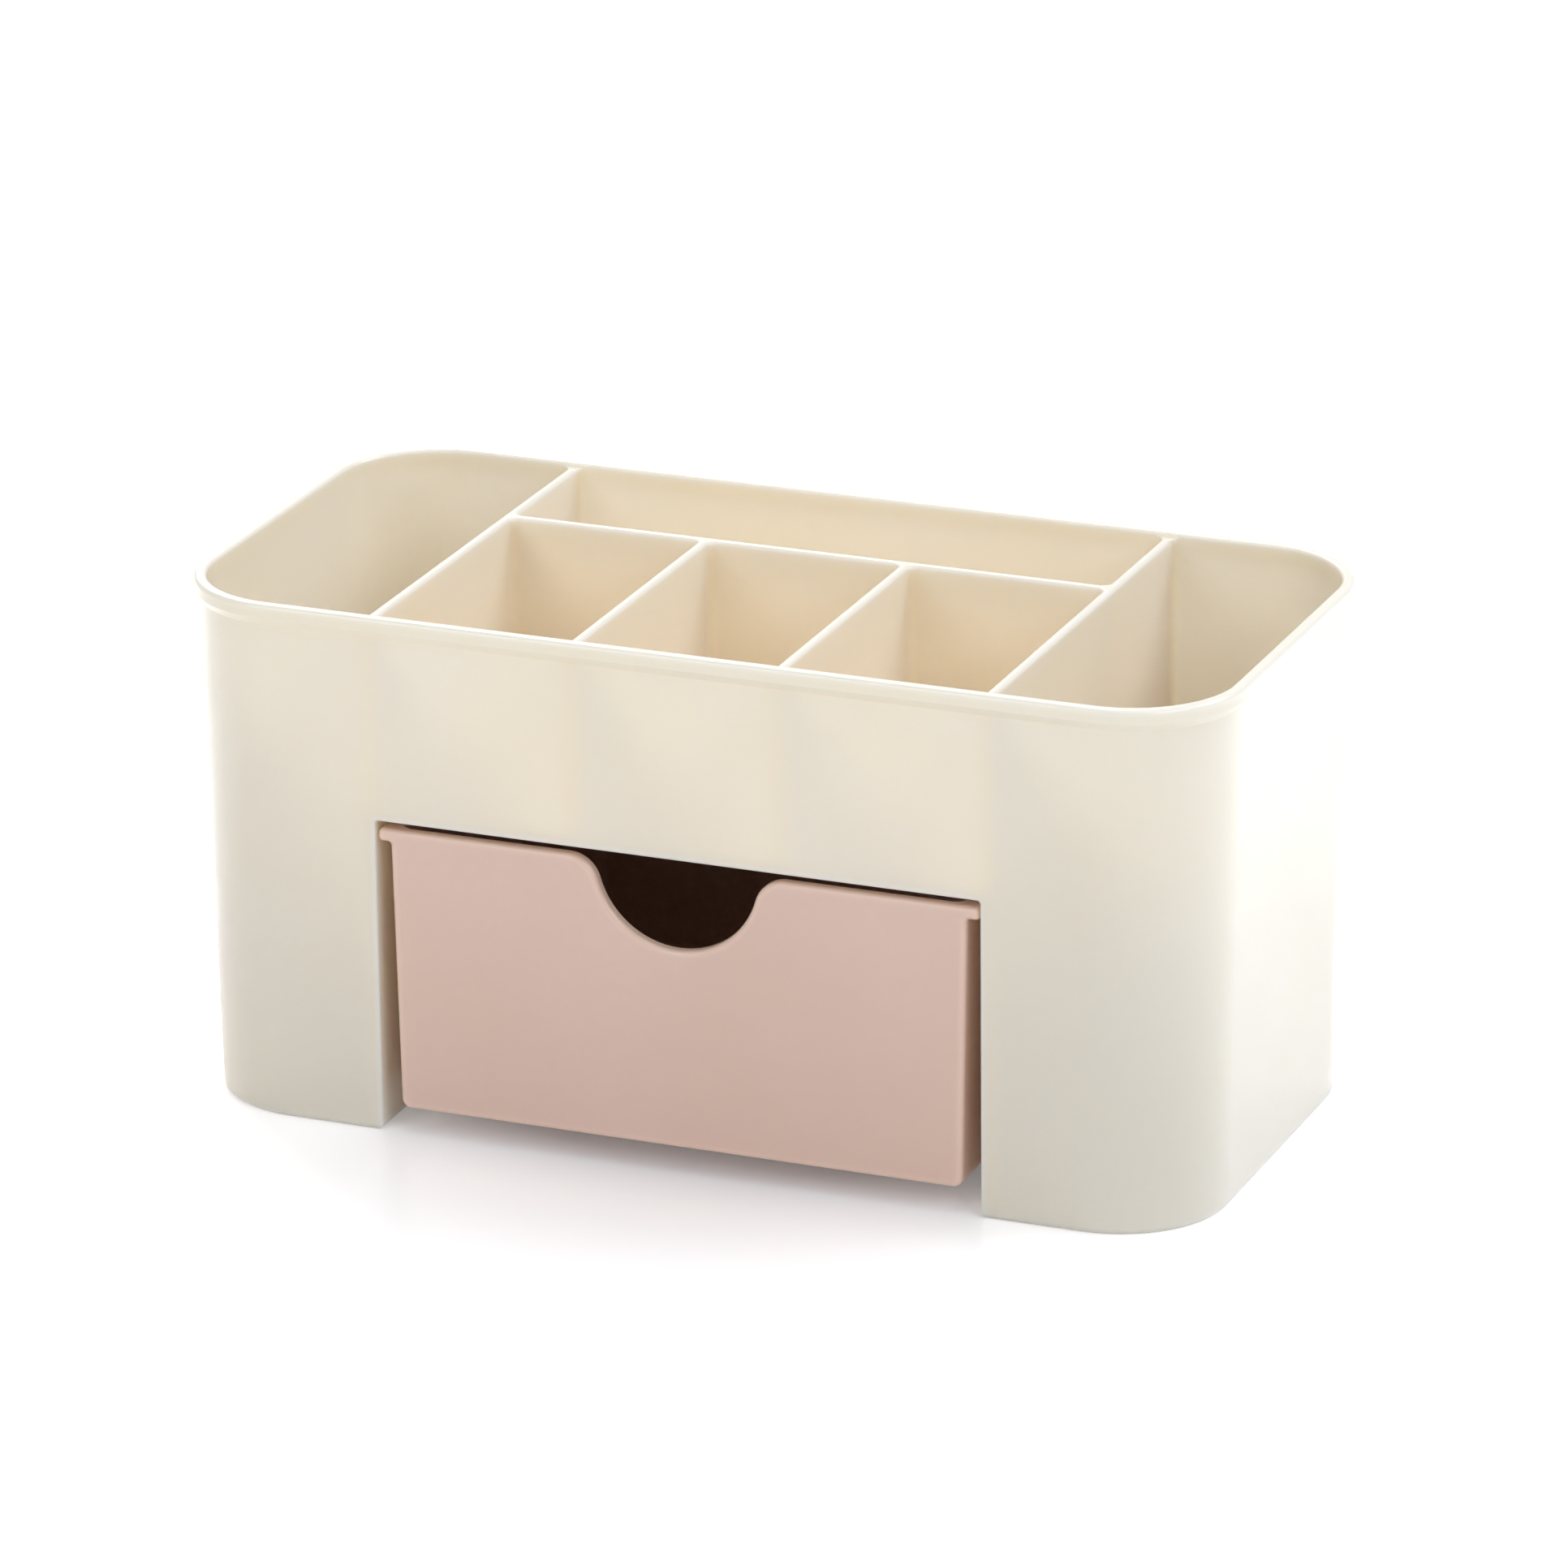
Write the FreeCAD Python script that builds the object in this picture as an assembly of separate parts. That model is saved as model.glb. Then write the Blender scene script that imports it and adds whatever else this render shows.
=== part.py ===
"""Cosmetics organizer with six open compartments and one hanging drawer.

Two injection moulded pieces. The body is one moulding: an outer wall with big
rounded corners, a rolled lip, two deep end wells, four shallow compartments
over a drawer bay, and two rails in that bay. The drawer is the other moulding:
an open tray with a finger notch, that hangs by its flange on the rails.

Millimetres. +Z is up, +X runs along the length, the drawer opens towards -Y.
The origin is the middle of the base, on the surface that the body stands on.
"""
import FreeCAD, Part
import os
from math import asin, cos, pi, sin, tan

Vector = FreeCAD.Vector

# Overall size of the body, over its lip
length = 220.0
depth = 107.5
height = 108.5

# Outer wall: it draws in towards the base, more at the ends than at the front
wall = 1.7
corner_radius = 22.5
end_draw_in = 2.3
front_draw_in = 0.6
base_edge_radius = 1.2

# Rolled lip round the top of the wall
lip_overhang = 0.9
lip_band = 2.8
lip_flare = 1.6
lip_outer_radius = 1.0
lip_inner_radius = 0.75

# Dividers and floors of the compartments
divider = 2.0
divider_drop = 0.9
divider_edge_radius = 0.8
rounding_facets = 4
front_cells = 3
back_row_depth = 32.4
cell_draft = 0.35
cell_corner_radius = 1.8
well_floor = 2.0
tray_floor = 2.0
floor_radius = 1.3

# Drawer bay, open at the front and at the bottom
bay_width = 127.6
bay_height = 66.0
bay_corner_radius = 0.8
jamb_edge_radius = 0.35
leg_corner_radius = 1.6

# Rails under the drawer's flange
rail_thickness = 2.2
rail_setback = 12.0
rail_nose_radius = 1.6
rail_side_clearance = 0.5
rail_top_clearance = 0.3

# Drawer
flange_side_clearance = 0.35
flange_overhang = 2.6
flange_thickness = 2.6
drawer_top_gap = 1.8
drawer_bottom_gap = 5.5
drawer_front_recess = 0.1
drawer_back_gap = 1.0
drawer_side_draft = 1.2
drawer_back_draft = 1.0
drawer_wall = 1.6
drawer_panel = 2.2
drawer_floor = 1.8
drawer_corner_radius = 4.0
drawer_floor_radius = 1.8
panel_edge_radius = 1.0
panel_bottom_radius = 2.0
flange_edge_radius = 0.9
flange_root_radius = 0.7
drawer_rim_radius = 0.5

# Finger notch in the top of the drawer's front
notch_radius = 17.3
notch_shoulder_radius = 6.4

# Places worked out from the sizes above
wall_top_x = length / 2 - lip_overhang
wall_top_y = depth / 2 - lip_overhang
bay_half = bay_width / 2
well_side = bay_half + divider
tray_level = bay_height + tray_floor
divider_top = height - divider_drop
drawer_top = bay_height - drawer_top_gap
drawer_bottom = drawer_bottom_gap
drawer_height = drawer_top - drawer_bottom
flange_bottom = drawer_top - flange_thickness
flange_half = bay_half - flange_side_clearance
drawer_half_top = flange_half - flange_overhang
rail_top = flange_bottom - rail_top_clearance
rail_bottom = rail_top - rail_thickness
rail_half = drawer_half_top + rail_side_clearance
bay_back = wall_top_y - front_draw_in - wall
panel_face = drawer_front_recess - (wall_top_y - front_draw_in)
panel_back = panel_face + drawer_panel
drawer_back = bay_back - drawer_back_gap - flange_overhang


def outer_x(z):
    """Half length of the outer wall at height z."""
    return wall_top_x - end_draw_in * (height - z) / height


def outer_y(z):
    """Half depth of the outer wall at height z."""
    return wall_top_y - front_draw_in * (height - z) / height


def smooth_wire(points, radii):
    """Closed wire through the points, each corner rounded by its own radius."""
    count = len(points)
    corners = []
    for index, (corner, radius) in enumerate(zip(points, radii)):
        back = (points[index - 1] - corner).normalize()
        ahead = (points[(index + 1) % count] - corner).normalize()
        if radius == 0:
            corners.append((corner, corner, None))
            continue
        half_angle = back.getAngle(ahead) / 2
        inwards = (back + ahead).normalize()
        start = corner + back * (radius / tan(half_angle))
        end = corner + ahead * (radius / tan(half_angle))
        middle = corner + inwards * (radius / sin(half_angle) - radius)
        corners.append((start, end, Part.Arc(start, middle, end).toShape()))
    edges = []
    for index, (start, end, arc) in enumerate(corners):
        if arc is not None:
            edges.append(arc)
        following = corners[(index + 1) % count][0]
        if end.distanceToPoint(following) > 1e-6:
            edges.append(Part.LineSegment(end, following).toShape())
    return Part.Wire(edges)


def outline(x0, x1, y0, y1, radii, z):
    """Level rectangle; its radii go round from the front left corner."""
    points = [Vector(x0, y0, z), Vector(x1, y0, z), Vector(x1, y1, z), Vector(x0, y1, z)]
    return smooth_wire(points, radii)


def centred_outline(half_x, half_y, radius, z):
    return outline(-half_x, half_x, -half_y, half_y, [radius] * 4, z)


def loft(wires):
    """Solid with straight sides from each wire to the next."""
    return Part.makeLoft(wires, True, True)


def block(x0, x1, y0, y1, z0, z1):
    return Part.makeBox(x1 - x0, y1 - y0, z1 - z0, Vector(x0, y0, z0))


def edges_at_height(shape, z):
    """Edges that lie flat at height z."""
    return [edge for edge in shape.Edges
            if abs(edge.BoundBox.ZMin - z) < 1e-4 and abs(edge.BoundBox.ZMax - z) < 1e-4]


def rounding_steps(radius):
    """How far a rounded edge has spread and risen, step by step round its quarter."""
    steps = []
    for index in range(1, rounding_facets + 1):
        angle = pi / 2 * index / rounding_facets
        steps.append((radius * (1 - cos(angle)), radius * sin(angle)))
    return steps


def opening(outline_at, z_low, z_top, radius):
    """Space from z_low up to z_top whose mouth widens round the radius."""
    z_start = z_top - radius
    wires = [outline_at(z_low, 0), outline_at(z_start, 0)]
    for spread, rise in rounding_steps(radius):
        wires.append(outline_at(z_start + rise, spread))
    return loft(wires)


def outer_shell():
    """Solid outer form of the body with its rolled lip and rounded base edge."""
    band_foot = height - lip_band
    flare_foot = band_foot - lip_flare
    lip_radius = corner_radius + lip_overhang
    base = centred_outline(outer_x(0), outer_y(0), corner_radius, 0)
    under_lip = centred_outline(outer_x(flare_foot), outer_y(flare_foot), corner_radius,
                                flare_foot)
    lip_foot = centred_outline(length / 2, depth / 2, lip_radius, band_foot)
    lip_top = centred_outline(length / 2, depth / 2, lip_radius, height)
    lower = loft([base, under_lip])
    lower = lower.makeFillet(base_edge_radius, edges_at_height(lower, 0))
    lip = loft([lip_foot, lip_top])
    lip = lip.makeFillet(lip_outer_radius, edges_at_height(lip, height))
    return lower.fuse([loft([under_lip, lip_foot]), lip])


def mouth():
    """Open space inside the lip, above the tops of the dividers."""
    def outline_at(z, spread):
        return centred_outline(outer_x(z) - wall + spread, outer_y(z) - wall + spread,
                               corner_radius - wall + spread, z)
    return opening(outline_at, divider_top, height, lip_inner_radius)


def well(side):
    """Space of an end well; side is -1 for the left one and 1 for the right."""
    def outline_at(z, spread):
        draw = cell_draft * (divider_top - z) / (divider_top - well_floor)
        inner = well_side + draw - spread
        outer = outer_x(z) - wall
        half_y = outer_y(z) - wall
        big = corner_radius - wall
        small = cell_corner_radius + spread
        if side > 0:
            return outline(inner, outer, -half_y, half_y, [small, big, big, small], z)
        return outline(-outer, -inner, -half_y, half_y, [big, small, small, big], z)
    space = opening(outline_at, well_floor, divider_top, divider_edge_radius)
    return space.makeFillet(floor_radius, edges_at_height(space, well_floor))


def cell(x0, x1, front, back):
    """Space of a shallow compartment; None stands for the outer wall's side."""
    def outline_at(z, spread):
        draw = cell_draft * (divider_top - z) / (divider_top - tray_level) - spread
        wall_y = outer_y(z) - wall
        y0 = -wall_y if front is None else front + draw
        y1 = wall_y if back is None else back - draw
        radius = cell_corner_radius + spread
        return outline(x0 + draw, x1 - draw, y0, y1, [radius] * 4, z)
    space = opening(outline_at, tray_level, divider_top, divider_edge_radius)
    return space.makeFillet(floor_radius, edges_at_height(space, tray_level))


def shallow_cells():
    """The front row of compartments and the long one behind them."""
    cross_back = outer_y(divider_top) - wall - back_row_depth
    cross_front = cross_back - divider
    pitch = (2 * bay_half + divider) / front_cells
    spaces = []
    for index in range(front_cells):
        x0 = -bay_half + index * pitch
        spaces.append(cell(x0, x0 + pitch - divider, None, cross_front))
    spaces.append(cell(-bay_half, bay_half, cross_back, None))
    return spaces


def bay_outline(y_at, spread):
    """Upright outline of the bay; y_at gives the place of each height along Y."""
    side = bay_half + spread
    foot = side + leg_corner_radius + 1.0
    below = -base_edge_radius
    corners = [(-foot, below, 0), (-foot, 0, 0), (-side, 0, leg_corner_radius),
               (-side, bay_height + spread, bay_corner_radius),
               (side, bay_height + spread, bay_corner_radius),
               (side, 0, leg_corner_radius), (foot, 0, 0), (foot, below, 0)]
    points = [Vector(x, y_at(z), z) for x, z, radius in corners]
    return smooth_wire(points, [radius for x, z, radius in corners])


def bay():
    """Space of the drawer bay, out through the front wall and the base."""
    radius = jamb_edge_radius
    wires = [bay_outline(lambda z: bay_back, 0)]
    wires.append(bay_outline(lambda z: radius - outer_y(z), 0))
    for spread, rise in rounding_steps(radius):
        wires.append(bay_outline(lambda z: radius - rise - outer_y(z), spread))
    wires.append(bay_outline(lambda z: -lip_overhang - outer_y(z), radius))
    return loft(wires)


def rail(side):
    """Ledge on the bay's side wall that the drawer's flange slides on."""
    front = rail_setback - outer_y(rail_top)
    tip = side * rail_half
    root = side * (bay_half + divider / 2)
    ledge = block(min(tip, root), max(tip, root), front, bay_back + wall / 2,
                  rail_bottom, rail_top)
    nose = [edge for edge in ledge.Edges
            if edge.BoundBox.YMax < front + 1e-4
            and abs(edge.BoundBox.XMin - tip) + abs(edge.BoundBox.XMax - tip) < 1e-4]
    return ledge.makeFillet(rail_nose_radius, nose)


def body():
    """The moulding with the compartments, the drawer bay and its rails."""
    hollow = outer_shell().cut([mouth(), well(-1), well(1), bay()] + shallow_cells())
    return hollow.fuse([rail(-1), rail(1)]).removeSplitter()


def drawer_side(z):
    """Half width of the drawer's tub at height z."""
    return drawer_half_top - drawer_side_draft * (drawer_top - z) / drawer_height


def front_panel():
    """Front of the drawer with its finger notch and the ends of its flange."""
    lean = asin(notch_shoulder_radius / (notch_radius + notch_shoulder_radius))
    shoulder = notch_radius / cos(lean)
    apex = drawer_top - notch_radius / sin(lean)
    right = [(drawer_side(drawer_bottom), drawer_bottom, panel_bottom_radius),
             (drawer_side(flange_bottom), flange_bottom, flange_root_radius),
             (flange_half, flange_bottom, flange_edge_radius),
             (flange_half, drawer_top, flange_edge_radius),
             (shoulder, drawer_top, notch_shoulder_radius)]
    left = [(-x, z, radius) for x, z, radius in reversed(right)]
    corners = right + [(0, apex, notch_radius)] + left
    points = [Vector(x, panel_face, z) for x, z, radius in corners]
    face = Part.Face(smooth_wire(points, [radius for x, z, radius in corners]))
    panel = face.extrude(Vector(0, drawer_panel, 0))
    front_edges = [edge for edge in panel.Edges if edge.BoundBox.YMax < panel_face + 1e-4]
    return panel.makeFillet(panel_edge_radius, front_edges)


def tub():
    """Sides, back and floor of the drawer with the flange round their top."""
    def back_y(z):
        return drawer_back - drawer_back_draft * (drawer_top - z) / drawer_height

    def form_outline(z):
        side = drawer_side(z)
        radii = [0, 0, drawer_corner_radius, drawer_corner_radius]
        return outline(-side, side, panel_back, back_y(z), radii, z)

    def space_outline(z, spread):
        side = drawer_side(z) - drawer_wall + spread
        inner = drawer_corner_radius - drawer_wall + spread
        return outline(-side, side, panel_back, back_y(z) - drawer_wall + spread,
                       [inner] * 4, z)

    form = loft([form_outline(drawer_bottom), form_outline(drawer_top)])
    bottom_edges = [edge for edge in edges_at_height(form, drawer_bottom)
                    if edge.BoundBox.YMax > panel_back + 1e-4]
    form = form.makeFillet(panel_bottom_radius, bottom_edges)
    flange_radius = drawer_corner_radius + flange_overhang
    flange_radii = [0, 0, flange_radius, flange_radius]
    flange_back = drawer_back + flange_overhang
    flange = loft([outline(-flange_half, flange_half, panel_back, flange_back,
                           flange_radii, z) for z in (flange_bottom, drawer_top)])
    flange_edges = [edge for edge in flange.Edges
                    if abs(edge.BoundBox.ZMax - edge.BoundBox.ZMin) < 1e-4
                    and edge.BoundBox.YMax > panel_back + 1e-4]
    flange = flange.makeFillet(flange_edge_radius, flange_edges)
    space = opening(space_outline, drawer_bottom + drawer_floor, drawer_top,
                    drawer_rim_radius)
    space = space.makeFillet(drawer_floor_radius,
                             edges_at_height(space, drawer_bottom + drawer_floor))
    return form.fuse(flange).cut(space)


def drawer():
    """The tray that hangs by its flange on the body's rails."""
    return front_panel().fuse(tub()).removeSplitter()


os.makedirs("parts", exist_ok=True)
body().exportStep("parts/organizer_body.step")
drawer().exportStep("parts/drawer.step")
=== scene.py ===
"""Make-up organizer with one drawer, dressed and lit as a studio product picture.

The two moulded pieces keep their own meshes and get satin plastic finishes.
"""
from math import pi, radians

import bpy
from mathutils import Matrix, Vector

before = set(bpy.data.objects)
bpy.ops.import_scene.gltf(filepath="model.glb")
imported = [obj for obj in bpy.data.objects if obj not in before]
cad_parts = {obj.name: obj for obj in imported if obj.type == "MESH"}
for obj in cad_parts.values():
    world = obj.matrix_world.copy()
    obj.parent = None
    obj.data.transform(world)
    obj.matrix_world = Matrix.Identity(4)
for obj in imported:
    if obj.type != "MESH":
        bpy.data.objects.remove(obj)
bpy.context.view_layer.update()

# Camera, from the picture: place, turn and lens in metres, degrees and pixels
picture_width = 1932
focal_pixels = 11463
sensor_width = 36.0
look_at = Vector((0.0075, -0.0136, 0.0696))
azimuth = 22.14
elevation = 19.90
roll = -0.49
distance = 1.8406

# Colours, as linear red, green and blue
cream = (0.925, 0.805, 0.665)
cream_deep = (0.925, 0.795, 0.635)
# Painted highlight on the body's rounded edges
cream_edge_highlight = (0.95, 0.87, 0.75)
rose = (0.82, 0.565, 0.465)
rose_deep = (0.795, 0.54, 0.435)
# Painted highlight on the drawer's rounded edges
rose_edge_highlight = (0.97, 0.67, 0.51)
floor_white = (0.95, 0.95, 0.95)
sky_white = (0.96, 0.98, 1.0)
cool_white = (0.83, 0.90, 1.0)
warm_white = (1.0, 0.93, 0.82)
plain_white = (0.93, 0.955, 1.0)

# Lamps: name, place in metres, power in watts and colour
lamp_width = 0.9
lamps = (
    ("rear_right_lamp", (1.15, 0.65, 1.45), 14.4, cool_white),
    ("front_right_lamp", (1.35, -0.80, 1.2), 9.5, cool_white),
    ("rear_left_lamp", (-0.9, 1.2, 1.3), 18.5, warm_white),
    ("front_left_lamp", (-0.8, -1.6, 1.0), 8.2, plain_white),
    ("overhead_lamp", (0.2, -0.3, 2.1), 6.3, plain_white),
)

# Strength of the surroundings as light on the object; in view they are white
sky_level = 0.21

# The floor as it is seen: its own white grows from the middle outwards, so
# that the object's shadow stays and the far floor meets the white surroundings
floor_width = 6.0
floor_roughness = 0.25
floor_lift = 0.11
shadow_reach = 0.05
white_reach = 0.26

# Plastic: pattern sizes in cells per metre, and the band of noise that counts
cloud_scale = 22.0
fleck_scale = 420.0
patch_scale = 60.0
grain_scale = 1400.0
cloud_band = (0.35, 0.65)
patch_band = (0.3, 0.7)
fleck_share = 0.35

# Grain in the surface: strength, and height in metres
grain_strength = 0.10
grain_height = 0.0001

# Painted highlight along the edges: its width, the openness at which it starts and is full
highlight_width = 0.0015
highlight_band = (0.95, 0.65)
highlight_samples = 6

# Gloss of the plastic, and how far light wanders inside it
plastic_ior = 1.49
coat_weight = 0.5
coat_roughness = 0.16
glow_depth = 0.0062

# Sockets of a Mix node that take and give colours
mix_inputs = (6, 7)
mix_output = 2


def add_node(owner, kind, **inputs):
    """New node of a kind in a material or world, with its named inputs set."""
    node = owner.node_tree.nodes.new(kind)
    for name, value in inputs.items():
        node.inputs[name].default_value = value
    return node


def noise(owner, place, scale, detail):
    """Noise through the piece's own space, with a scale in cells per metre."""
    node = add_node(owner, "ShaderNodeTexNoise", Scale=scale, Detail=detail)
    owner.node_tree.links.new(place, node.inputs["Vector"])
    return node.outputs["Fac"]


def spread(owner, value, source, target):
    """Value between the two numbers of source turned into one between target's."""
    node = add_node(owner, "ShaderNodeMapRange")
    owner.node_tree.links.new(value, node.inputs["Value"])
    sockets = ("From Min", "From Max", "To Min", "To Max")
    for socket, number in zip(sockets, (*source, *target)):
        node.inputs[socket].default_value = number
    return node.outputs["Result"]


def combine(owner, operation, first, second):
    """Two outputs put together by one operation of a Math node."""
    node = add_node(owner, "ShaderNodeMath")
    node.operation = operation
    owner.node_tree.links.new(first, node.inputs[0])
    owner.node_tree.links.new(second, node.inputs[1])
    return node.outputs["Value"]


def mix_colours(owner, factor, *colours):
    """Colour between two others, each a colour or another node's output."""
    node = add_node(owner, "ShaderNodeMix")
    node.data_type = "RGBA"
    owner.node_tree.links.new(factor, node.inputs["Factor"])
    for number, colour in zip(mix_inputs, colours):
        if isinstance(colour, tuple):
            node.inputs[number].default_value = (*colour, 1.0)
        else:
            owner.node_tree.links.new(colour, node.inputs[number])
    return node.outputs[mix_output]


def moulded_plastic(name, colour, deep_colour, highlight_colour, glow, glow_reach, roughness):
    """Satin polypropylene: clouded colour, faint grain and painted highlights along the edges.
    """
    material = bpy.data.materials.new(name)
    material.use_nodes = True
    links = material.node_tree.links
    surface = material.node_tree.nodes["Principled BSDF"]
    place = add_node(material, "ShaderNodeTexCoord").outputs["Object"]

    clouds = spread(material, noise(material, place, cloud_scale, detail=3.0),
                    cloud_band, (0.0, 1.0))
    flecks = spread(material, noise(material, place, fleck_scale, detail=2.0),
                    cloud_band, (0.0, fleck_share))
    tone = mix_colours(material, clouds, colour, deep_colour)
    tone = mix_colours(material, flecks, tone, deep_colour)

    # Paler colour on the rounded edges: a painted highlight that stands in for light caught by
    # the roundings
    inside = add_node(material, "ShaderNodeAmbientOcclusion", Distance=highlight_width)
    inside.inside = True
    inside.only_local = True
    inside.samples = highlight_samples
    painted_highlight = spread(material, inside.outputs["AO"], highlight_band, (0.0, 1.0))
    links.new(mix_colours(material, painted_highlight, tone, highlight_colour), surface.inputs["Base Color"])

    patches = noise(material, place, patch_scale, detail=4.0)
    links.new(spread(material, patches, patch_band, roughness), surface.inputs["Roughness"])

    bump = add_node(material, "ShaderNodeBump", Strength=grain_strength, Distance=grain_height)
    links.new(noise(material, place, grain_scale, detail=2.0), bump.inputs["Height"])
    links.new(bump.outputs["Normal"], surface.inputs["Normal"])

    surface.inputs["IOR"].default_value = plastic_ior
    surface.inputs["Subsurface Weight"].default_value = glow
    surface.inputs["Subsurface Radius"].default_value = glow_reach
    surface.inputs["Subsurface Scale"].default_value = glow_depth
    surface.inputs["Coat Weight"].default_value = coat_weight
    surface.inputs["Coat Roughness"].default_value = coat_roughness
    return material


def dress(node_name, material):
    """Gives a moulded piece its finish."""
    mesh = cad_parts[node_name].data
    mesh.materials.clear()
    mesh.materials.append(material)


def in_view(owner):
    """One for rays that the camera sees straight or in a gloss, nought for others."""
    path = add_node(owner, "ShaderNodeLightPath")
    return combine(owner, "MAXIMUM",
                   path.outputs["Is Camera Ray"], path.outputs["Is Glossy Ray"])


def floor_material():
    """Plain pale floor that shows white away from the object and its shadow."""
    material = bpy.data.materials.new("floor_paint")
    material.use_nodes = True
    links = material.node_tree.links
    surface = material.node_tree.nodes["Principled BSDF"]
    surface.inputs["Base Color"].default_value = (*floor_white, 1.0)
    surface.inputs["Roughness"].default_value = floor_roughness
    surface.inputs["Emission Color"].default_value = (1.0, 1.0, 1.0, 1.0)
    place = add_node(material, "ShaderNodeTexCoord").outputs["Object"]
    away = add_node(material, "ShaderNodeVectorMath")
    away.operation = "LENGTH"
    links.new(place, away.inputs[0])
    white = spread(material, away.outputs["Value"],
                   (shadow_reach, white_reach), (floor_lift, 1.0))
    links.new(combine(material, "MULTIPLY", white, in_view(material)),
              surface.inputs["Emission Strength"])
    return material


def add_floor():
    """Wide level floor under the object."""
    half = floor_width / 2
    mesh = bpy.data.meshes.new("floor")
    corners = [(-half, -half, 0), (half, -half, 0), (half, half, 0), (-half, half, 0)]
    mesh.from_pydata(corners, [], [(0, 1, 2, 3)])
    mesh.materials.append(floor_material())
    floor = bpy.data.objects.new("floor", mesh)
    bpy.context.scene.collection.objects.link(floor)


def add_sky():
    """Even pale surroundings that light the object and show white to the camera."""
    world = bpy.data.worlds.new("studio")
    bpy.context.scene.world = world
    world.use_nodes = True
    background = world.node_tree.nodes["Background"]
    background.inputs["Color"].default_value = (*sky_white, 1.0)
    strength = spread(world, in_view(world), (0.0, 1.0), (sky_level, 1.0))
    world.node_tree.links.new(strength, background.inputs["Strength"])


def add_lamp(name, place, power, colour):
    """Square soft lamp that faces the middle of the object."""
    data = bpy.data.lights.new(name, "AREA")
    data.energy = power
    data.color = colour
    data.size = lamp_width
    lamp = bpy.data.objects.new(name, data)
    facing = (look_at - Vector(place)).to_track_quat("-Z", "Y").to_matrix().to_4x4()
    lamp.matrix_world = Matrix.Translation(place) @ facing
    bpy.context.scene.collection.objects.link(lamp)


def add_camera():
    """Camera at the picture's viewpoint."""
    data = bpy.data.cameras.new("camera")
    data.sensor_width = sensor_width
    data.lens = focal_pixels / picture_width * sensor_width
    camera = bpy.data.objects.new("camera", data)
    camera.matrix_world = (Matrix.Translation(look_at)
                           @ Matrix.Rotation(radians(azimuth), 4, "Z")
                           @ Matrix.Rotation(pi / 2 - radians(elevation), 4, "X")
                           @ Matrix.Rotation(radians(roll), 4, "Z")
                           @ Matrix.Translation((0, 0, distance)))
    bpy.context.scene.collection.objects.link(camera)
    bpy.context.scene.camera = camera


dress("organizer_body", moulded_plastic(
    "cream_plastic", cream, cream_deep, cream_edge_highlight,
    glow=0.8, glow_reach=(1.0, 0.92, 0.82), roughness=(0.28, 0.38)))
dress("drawer", moulded_plastic(
    "rose_plastic", rose, rose_deep, rose_edge_highlight,
    glow=0.25, glow_reach=(1.0, 0.8, 0.7), roughness=(0.32, 0.42)))
add_floor()
add_sky()
for lamp in lamps:
    add_lamp(*lamp)
add_camera()
bpy.context.scene.view_settings.view_transform = "Standard"
